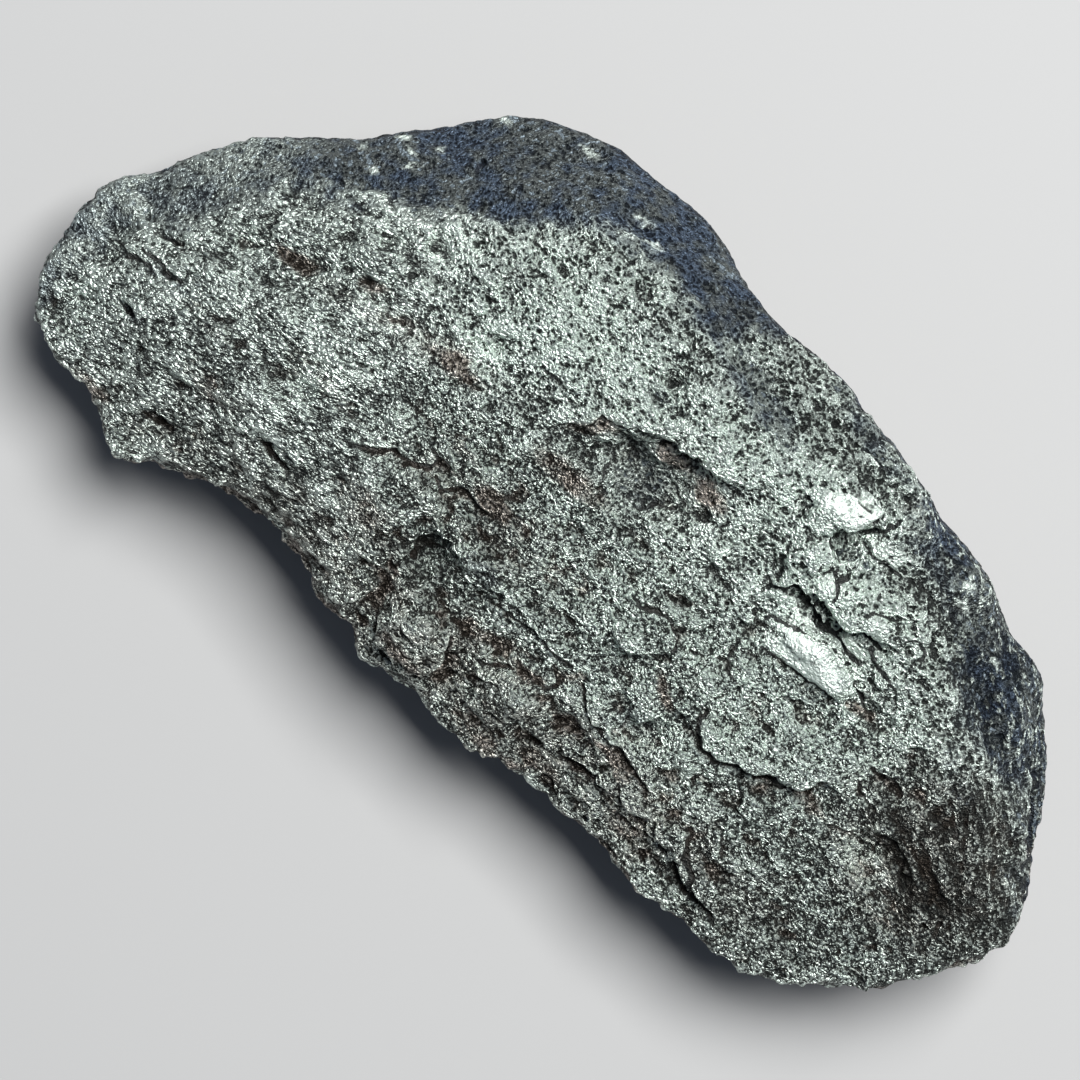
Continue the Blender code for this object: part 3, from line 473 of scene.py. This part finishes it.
def ledges(u, v):
    """Heights of the ledges and clefts, each point's place beside its nearest cleft, and that one's depth."""
    lift = np.zeros(len(u))
    crack = np.full(len(u), NO_CRACK)
    crack_depth = np.zeros(len(u))
    for path, height, reach, cleft in LEDGES:
        away, share = route(u, v, path)
        beside = away * np.sign(height)
        ends = ease(np.minimum(share, 1.0 - share), 0.0, LEDGE_END) * (np.abs(away) < 3.0 * reach)
        fall = np.exp(-(np.maximum(beside, 0.0) / reach) ** 2)
        lift += LEDGE_GAIN * abs(height) * ease(beside, -LEDGE_FACE / 2, LEDGE_FACE / 2) * fall * ends
        foot = beside + LEDGE_FACE / 2
        lift -= CLEFT_SHARE * cleft * np.exp(-(foot / CLEFT_HALF_WIDTH) ** 2) * ends
        nearer = (np.abs(foot) < np.abs(crack)) & (ends > 0.0)
        crack = np.where(nearer, foot, crack)
        crack_depth = np.where(nearer, min(1.0, FAINTEST_CRACK + cleft) * ends, crack_depth)
    return lift, crack, crack_depth


u, v = seen_from_above(points)
u = u + mixed(points, WANDERING_U)
v = v + mixed(points, WANDERING_V)
ragged = waves(points / RAGGED_SIZE, 15)
tilt = normals[:, 2]
facing_up = ease(tilt, *FACING_UP)
turned_away = 1.0 - facing_up

lift, crack, crack_depth = ledges(u, v)
for depth, away in ovals(u, v, PITS):
    lift -= depth * (1.0 - ease(away + 0.35 * ragged, *PIT_WALL)) * (1.0 + 0.4 * ragged)
lift *= facing_up
for height, away in ovals(u, v, SWELLS):
    lift += SWELL_GAIN * height * np.exp(-(away ** 2)) * ease(tilt, *SWELLS_FROM)

# The worn face's skins, stains and painted shading; patchy stains and painted shade on the sides and
# underside
patchy = 0.5 + mixed(points, PATCHES)
skin_and_painted_highlight = facing_up * strongest(u, v, SKINS_AND_PAINTED_HIGHLIGHTS, SKIN_RIM, 0.3 * ragged)
stain = facing_up * strongest(u, v, STAINS, STAIN_RIM) + turned_away * ease(patchy, 0.2, 0.9)
painted_shading = turned_away * (0.7 + 0.5 * patchy)
for strength, away in ovals(u, v, PAINTED_SHADING):
    painted_shading += facing_up * strength * (1.0 - ease(away, *PAINTED_SHADING_RIM))

# The cool, scorched crust, which is partly a painted dark blue reflection: on the bevels, with a softer edge
# on the right and thinner at the left tip, in patches of the face, and down the far side
beyond, _ = route(u, v, BEVEL_START)
beyond += 1.3 * waves(points / 2.6, 16) + 0.8 * ragged
feather = 1.2 + 1.3 * ease(u, *SOFT_BEVEL)
cool = ease(beyond / feather, -1.0, 1.0)
cool = np.maximum(cool, strongest(u, v, COOL_PATCHES, COOL_RIM, 0.3 * ragged))
cool *= 1.0 - 0.45 * ease(u, *THIN_CRUST)
far_side = turned_away * ease(normals[:, 1] + 0.3 * waves(points / 5.0, 45), 0.1, 0.5)
cool = np.maximum(cool, far_side * ease(tilt, *FAR_CRUST_FROM))

# Kinds of ground on the worn face: drawn out on the left, torn right of the middle, layered at the right end,
# and calmer than the rest on the left and low on the right
upright = ease(tilt, *UPRIGHT)
worn = (1.0 - cool) * upright
drawn_out = ease(-u - 0.35 * v, *DRAWN_OUT) * worn
torn = ease(u, *TORN_FROM) * (1.0 - ease(u, *TORN_TO)) * worn
layered = ease(u, *LAYERED_FROM) * upright
plain = (1.0 - drawn_out) * (1.0 - torn) * (1.0 - 0.6 * layered)
calm = np.maximum(0.8 * drawn_out, ease(u, *CALM_FROM) * ease(v, *CALM_BELOW) * upright)

# Layers of the relief: height, size and seed. Most are longer along the lump than across it.
UNEVENNESS = [(0.60, (5.4, 3.6, 3.6), 21), (0.30, (2.5, 1.7, 1.7), 22)]
LUMPS = [(0.70, (3.4, 2.4, 2.4), 41), (0.46, (1.7, 1.2, 1.2), 42)]
LUMP_LEVEL = 0.25
TORN_RIM = [(0.32, 1.8, 28), (0.14, 0.9, 29)]
CRUMBS = [(0.11, (0.85, 0.6, 0.6), 33)]

# Flat plates: their size and height, and the waves that bend them
BIG_PLATE = (3.4, 1.9, 1.9)
BIG_PLATE_HEIGHT = 0.50
SMALL_PLATE = (1.2, 0.8, 0.8)
SMALL_PLATE_HEIGHT = 0.20
BEND = 0.5
BEND_SIZE = 1.6
BEND_SEEDS = (23, 24, 25)

# Scales on the left and streaks at the right end: the way across them, their pitch, rise and height, and the
# waves that bend them, in pitches
SCALE_ACROSS = (-0.28, 0.96)
SCALE_PITCH = 0.8
SCALE_RISE = 0.22
SCALE_HEIGHT = 0.17
SCALE_BENDS = [(0.9, 5.0, 30), (1.1, (2.4, 1.0, 1.0), 31), (0.5, (1.3, 0.8, 0.8), 32)]
STREAK_ACROSS = (0.72, 0.72)
STREAK_PITCH = 1.2
STREAK_RISE = 0.25
STREAK_HEIGHT = 0.20
STREAK_BENDS = [(1.1, 3.0, 34), (0.4, 1.0, 35)]


def scales(points, across, pitch, rise, bends):
    """Long scales, each of which rises sharply and sinks slowly to the next."""
    run = points[:, :2] @ np.array(across) / pitch + mixed(points, bends)
    part = run - np.floor(run)
    return ease(part, 0.0, rise) - part


# The relief itself: weaker on the crust and on calm ground, and almost without grain on the bright skins
grainy = 1.0 - 0.8 * skin_and_painted_highlight
lumps = mixed(points, LUMPS, folded=True) - LUMP_LEVEL
lift += (1.0 - 0.65 * cool) * (1.0 - 0.45 * calm) * (mixed(points, UNEVENNESS) + grainy * lumps)
lift += (1.0 - cool) * ease(0.85 - np.abs(tilt), 0.0, 0.4) * mixed(points, TORN_RIM)
bent = points + BEND * np.array([waves(points / BEND_SIZE, seed) for seed in BEND_SEEDS]).T
level, plate_rim = plates(bent / BIG_PLATE, 26)
lift += BIG_PLATE_HEIGHT * torn * level
level, _ = plates(bent / SMALL_PLATE, 27)
small_share = grainy * (1.0 - 0.8 * drawn_out) * (1.0 - 0.3 * layered) * (0.6 + 0.4 * worn)
lift += SMALL_PLATE_HEIGHT * small_share * level
scale_share = drawn_out + 0.5 * plain * worn
lift += SCALE_HEIGHT * scale_share * scales(points, SCALE_ACROSS, SCALE_PITCH, SCALE_RISE, SCALE_BENDS)
lift += STREAK_HEIGHT * layered * scales(points, STREAK_ACROSS, STREAK_PITCH, STREAK_RISE, STREAK_BENDS)
lift += (0.5 + 0.5 * worn) * grainy * mixed(points, CRUMBS)
points = points + normals * lift[:, None]
points[:, 2] = np.maximum(points[:, 2], 0.0)
write(lump.data, points)

# How far each point stands above the ground around it: closely, and over a few millimetres
evened = smooth(points, edges, CLOSE_ROUNDS, take=0.0)
cavity = ((points - evened) * normals).sum(axis=1)
stand = lift - smooth(lift, edges, WIDE_ROUNDS, give=0.9, take=0.0)

# Numbers kept at each of the lump's points, for its shader to read
kept = {
    "cavity": cavity,
    "stand": stand,
    "crack": crack,
    "crack_depth": crack_depth * facing_up * ease(-np.abs(crack), -0.6, -0.4),
    "plate_rim": plate_rim + 1.0 - torn * ease(v, *SEAMS_ABOVE),
    "skin_and_painted_highlight": skin_and_painted_highlight,
    "stain": stain,
    "painted_shading": painted_shading,
    "cool": cool * (0.35 + 0.65 * ease(tilt, *CRUST_FROM)),
    "drawn_out": drawn_out,
    "knobbly": ease(u, *KNOBBLY_FROM),
    "layered": layered,
    "crumbled": worn * (1.0 - 0.8 * ease(v, *CRUMBLED_TO)),
}
for name, values in kept.items():
    attribute = lump.data.attributes.new(name, "FLOAT", "POINT")
    attribute.data.foreach_set("value", values.astype(np.float32))
work(lump, "DECIMATE", ratio=TRIANGLES / (2.0 * len(lump.data.polygons)), use_collapse_triangulate=True)
lump.data.shade_smooth()


class Finish:
    """One value in the metal's shader. Sums on it add Math nodes, and node() adds any other node."""

    tree = None

    def __init__(self, socket):
        self.socket = socket

    @classmethod
    def node(cls, kind, settings=(), sockets=(), output=0):
        """Any node, from its type, its settings, and the values or links of its sockets."""
        made = cls.tree.nodes.new(kind)
        for name, value in dict(settings).items():
            setattr(made, name, value)
        for name, value in dict(sockets).items():
            if isinstance(value, Finish):
                cls.tree.links.new(value.socket, made.inputs[name])
            else:
                made.inputs[name].default_value = value
        return cls(made.outputs[output])

    @classmethod
    def sum(cls, operation, *values):
        return cls.node("ShaderNodeMath", {"operation": operation}, enumerate(values))

    def __add__(self, other):
        return self.sum("ADD", self, other)

    def __radd__(self, other):
        return self.sum("ADD", other, self)

    def __sub__(self, other):
        return self.sum("SUBTRACT", self, other)

    def __rsub__(self, other):
        return self.sum("SUBTRACT", other, self)

    def __mul__(self, other):
        return self.sum("MULTIPLY", self, other)

    def __rmul__(self, other):
        return self.sum("MULTIPLY", other, self)

    def size(self):
        """The value without its sign."""
        return self.sum("ABSOLUTE", self)

    def most(self, other):
        """The greater of two values."""
        return self.sum("MAXIMUM", self, other)

    def step(self, start, full):
        """0 below the start value, 1 above the full one, and smooth in between."""
        settings = {"interpolation_type": "SMOOTHSTEP"}
        return self.node("ShaderNodeMapRange", settings, {"Value": self, "From Min": start, "From Max": full})

    def tint(self, low, high):
        """The low colour where this is 0, and the high one where it is 1."""
        return self.node("ShaderNodeMix", {"data_type": "RGBA"}, {0: self, 6: low, 7: high}, 2)


def attribute_of(name):
    """A number kept at each point of the mesh."""
    return Finish.node("ShaderNodeAttribute", {"attribute_name": name}, output="Fac")


def noise_of(place, scale, detail, roughness=0.5):
    """Fine noise about 0, at so many hills to the millimetre."""
    sockets = {"Vector": place, "Scale": scale, "Detail": detail, "Roughness": roughness}
    return Finish.node("ShaderNodeTexNoise", {}, sockets) - 0.5


def drawn_along(place, angle, share):
    """Places turned about Z, with one axis shortened, so that a pattern on them comes out long that way."""
    sockets = {"Vector": place, "Angle": angle}
    turned = Finish.node("ShaderNodeVectorRotate", {"rotation_type": "Z_AXIS"}, sockets)
    return Finish.node("ShaderNodeVectorMath", {"operation": "MULTIPLY"}, {0: turned, 1: (share, 1.0, 1.0)})


# Colours where the metal is in shade and where it stands bare. The crust's blue and olive are partly its own
# colour and partly a painted dark blue reflection, which keeps the bevels dark.
STEEL = ((0.04, 0.044, 0.041, 1.0), (0.80, 0.90, 0.82, 1.0))
BROWN = ((0.036, 0.030, 0.024, 1.0), (0.52, 0.475, 0.42, 1.0))
BLUE = ((0.013, 0.018, 0.027, 1.0), (0.090, 0.122, 0.168, 1.0))
OLIVE = ((0.013, 0.017, 0.020, 1.0), (0.118, 0.133, 0.130, 1.0))
SPARK = (0.24, 0.29, 0.32, 1.0)

# Noises: hills to the millimetre, layers and the strength of the finer ones
FLECK = (0.8, 2.0, 0.7)
NET = (1.5, 2.0, 0.55)
FINE = (2.9, 1.0, 0.6)
LONG_NET = (1.6, 2.0, 0.6)
LONG_FINE = (2.6, 1.0, 0.5)
LAYERING = (1.3, 2.0, 0.6)
RUST = (0.5, 2.0, 0.65)
SPARKLE = (1.5, 1.0, 0.5)
KNOBS = (1.3, 2.0, 0.6)
BROAD_TONE = (0.16, 2.0)
CLOSE_TONE = (0.4, 1.0)
WANDER = (2.2, 1.0)
CRACK_WIDTH = (0.7, 1.0)
PITS_TO_A_MM = 0.95

# Turns of the drawn-out ground and of the layers at the right end, and how long the marks there are
DRAWN_TURN = -0.3
DRAWN_SHARE = 0.6
LAYER_TURN = 0.7
LAYER_SHARE = 0.2
KNOB_SHARE = 0.45
BUMP_DEPTH = 0.8 * MM

iron = bpy.data.materials.new("weathered iron")
iron.use_nodes = True
Finish.tree = iron.node_tree
shader = iron.node_tree.nodes["Principled BSDF"]
place = Finish.node("ShaderNodeTexCoord", output="Object")
millimetres = Finish.node("ShaderNodeVectorMath", {"operation": "SCALE"}, {0: place, "Scale": 1.0 / MM})
cavity = attribute_of("cavity")
stand = attribute_of("stand")
skin_and_painted_highlight = attribute_of("skin_and_painted_highlight")
stain = attribute_of("stain")
painted_shading = attribute_of("painted_shading")
cool = attribute_of("cool")
drawn_out = attribute_of("drawn_out")
layered = attribute_of("layered")
crumbled = attribute_of("crumbled")

# The grain as light and dark, and as height. It is a pitted net on the crest, creases where the face has
# crumbled, and longer creases where it is drawn out.
fine = noise_of(millimetres, *FINE) * 0.88
net = noise_of(millimetres, *NET).size()
pitted_tone = (0.09 - net) * 2.5 + fine * 1.2
creased_tone = net.step(0.0, 0.07) * 0.46 - 0.34 + fine * 1.2
round_tone = pitted_tone + crumbled * (creased_tone - pitted_tone)
round_height = net * (crumbled * 6.0 - 3.0) + fine * 1.3
drawn_place = drawn_along(millimetres, DRAWN_TURN, DRAWN_SHARE)
long_fine = noise_of(drawn_place, *LONG_FINE)
long_net = noise_of(drawn_place, *LONG_NET).size()
long_tone = long_net.step(0.0, 0.07) * 0.30 - 0.23 + long_fine * 0.5
long_height = long_net * 2.0 + long_fine * 0.7
layering = noise_of(drawn_along(millimetres, LAYER_TURN, LAYER_SHARE), *LAYERING) * layered * 0.9

# Small round pits in groups, each with a worn bright lip
fleck = noise_of(millimetres, *FLECK)
cell = Finish.node("ShaderNodeTexVoronoi", {}, {"Vector": millimetres, "Scale": PITS_TO_A_MM})
from_pit = cell + fine * 0.25
open_pits = fleck.step(-0.08, 0.02) * (1 - crumbled * 0.7) * (1 - drawn_out * 0.8)
pock = (1 - from_pit.step(0.14, 0.30)) * open_pits
lip = from_pit.step(0.24, 0.34) * (1 - cell.step(0.36, 0.5)) * open_pits
grain = round_tone + drawn_out * (long_tone - round_tone) + layering + lip * 0.10 - pock * 0.28
height = round_height + drawn_out * (long_height - round_height) + layering + lip * 0.1 - pock * 0.4

# Painted shadow in the gaps: the clefts, whose edges wander, and seams between the big plates, painted dark
wander = noise_of(millimetres, *WANDER) * 0.4
crack_depth = attribute_of("crack_depth")
crack_width = noise_of(millimetres, *CRACK_WIDTH) * 0.35 + crack_depth * 0.26
crack_away = (attribute_of("crack") + wander).size()
crack = (1 - (crack_away - crack_width).step(-0.08, 0.05)) * crack_depth.step(0.0, 0.5)
seam = (1 - (attribute_of("plate_rim") + wander * 0.4).step(0.02, 0.09)) * fleck.step(0.0, 0.08) * 0.8
painted_gap_shadow = crack.most(seam)

# How bare and bright the metal is, from what stands up, the grain and broad changes of tone. It holds painted
# light and shade too: hollows painted darker, partly as oxide and partly as painted shade, the painted
# shading, painted shadow in the gaps and painted highlights on the skins.
rough_side = 1 - skin_and_painted_highlight * 0.6
stand_share = 0.45 - crumbled * 0.12 - layered * 0.12
grain_share = rough_side * (2.0 - drawn_out * 0.4)
relief_and_painted_shading = (cavity * 2.2 + stand * stand_share + grain * grain_share) * (1 - painted_shading * 0.2) - painted_shading * 0.35
tone = noise_of(millimetres, *BROAD_TONE) + noise_of(millimetres, *CLOSE_TONE)
bare_and_painted_light = (relief_and_painted_shading + tone * 0.65 + skin_and_painted_highlight * 0.32 - painted_gap_shadow + 0.52).step(0.14, 0.94)
crust_bare_and_painted_light = (relief_and_painted_shading + tone * 0.15 - painted_gap_shadow + 0.47).step(0.1, 0.85)

# Bare steel, brown in the stains and valleys, under a blue and olive crust with sparks and bare knobs in it.
# The crust's colour is partly a painted dark blue reflection.
valley = (0 - stand).step(0.05, 0.45) * crumbled
rust = (stain + valley * 0.45 + noise_of(millimetres, *RUST) * 1.8 * stain).step(0.1, 0.9)
face_colour = rust.tint(bare_and_painted_light.tint(*STEEL), bare_and_painted_light.tint(*BROWN))
crust_kind = (tone + fleck * 0.6).step(-0.24, 0.16)
spark = (noise_of(millimetres, *SPARKLE) + tone * 0.3).step(0.12, 0.24)
crust_and_reflection_colour = spark.tint(crust_kind.tint(crust_bare_and_painted_light.tint(*BLUE), crust_bare_and_painted_light.tint(*OLIVE)), SPARK)
knob_noise = noise_of(drawn_along(millimetres, LAYER_TURN, KNOB_SHARE), *KNOBS)
knob = (cavity * 1.2 + knob_noise).step(0.03, 0.11) * attribute_of("knobbly") * 0.8
crust_and_reflection = cool * (1 - skin_and_painted_highlight) * (1 - knob)

bump = {"Strength": 1.0, "Distance": BUMP_DEPTH, "Height": height * rough_side * (1 - cool * 0.4)}
varying = {
    "Base Color": crust_and_reflection.tint(face_colour, crust_and_reflection_colour),
    "Roughness": 0.50 - bare_and_painted_light * 0.06 + cool * 0.10,
    "Metallic": 0.85 - painted_gap_shadow * 0.5 - skin_and_painted_highlight * 0.45,
    "Normal": Finish.node("ShaderNodeBump", {}, bump),
}
for name, value in varying.items():
    iron.node_tree.links.new(value.socket, shader.inputs[name])
lump.data.materials.clear()
lump.data.materials.append(iron)

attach(lump, "root")
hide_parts("meteorite")


# The floor, the light and the camera
# A plain pale floor under one wide soft lamp, in a dim grey room. The camera looks straight down.

FLOOR_SIZE = 3.0
FLOOR_COLOUR = (0.37, 0.37, 0.365, 1.0)
FLOOR_ROUGHNESS = 0.8
ROOM_COLOUR = (0.17, 0.20, 0.26, 1.0)
ROOM_LIGHT = 0.5
LAMP_PLACE = (0.08, 0.38, 0.80)
LAMP_SIZE = 0.5
LAMP_POWER = 16.5
SENSOR = 36.0
PIXELS_ACROSS = 1080
PIXELS_PER_MM = 10.4
CAMERA_TURN = 39.0

floor_mesh = bpy.data.meshes.new("floor")
floor_bm = bmesh.new()
bmesh.ops.create_grid(floor_bm, x_segments=1, y_segments=1, size=FLOOR_SIZE / 2)
floor_bm.to_mesh(floor_mesh)
floor_bm.free()
floor = bpy.data.objects.new("floor", floor_mesh)
bpy.context.scene.collection.objects.link(floor)
floor_paint = bpy.data.materials.new("pale floor")
floor_paint.use_nodes = True
floor_shader = floor_paint.node_tree.nodes["Principled BSDF"]
floor_shader.inputs["Base Color"].default_value = FLOOR_COLOUR
floor_shader.inputs["Roughness"].default_value = FLOOR_ROUGHNESS
floor_mesh.materials.append(floor_paint)

room = bpy.data.worlds.new("dim room")
room.use_nodes = True
room.node_tree.nodes["Background"].inputs["Color"].default_value = ROOM_COLOUR
room.node_tree.nodes["Background"].inputs["Strength"].default_value = ROOM_LIGHT
bpy.context.scene.world = room

lamp = bpy.data.lights.new("overhead lamp", "AREA")
lamp.size = LAMP_SIZE
lamp.energy = LAMP_POWER
lamp_holder = bpy.data.objects.new("overhead lamp", lamp)
lamp_holder.location = LAMP_PLACE
lamp_holder.rotation_euler = Vector(LAMP_PLACE).to_track_quat("Z", "Y").to_euler()
bpy.context.scene.collection.objects.link(lamp_holder)

camera = bpy.data.cameras.new("camera")
camera.sensor_width = SENSOR
camera.lens = SENSOR * (EYE[2] - SEEN_PLANE) * PIXELS_PER_MM / PIXELS_ACROSS
camera_holder = bpy.data.objects.new("camera", camera)
camera_holder.location = EYE * MM
camera_holder.rotation_euler = (0.0, 0.0, np.radians(CAMERA_TURN))
bpy.context.scene.collection.objects.link(camera_holder)
bpy.context.scene.camera = camera_holder
bpy.context.scene.view_settings.view_transform = "Standard"
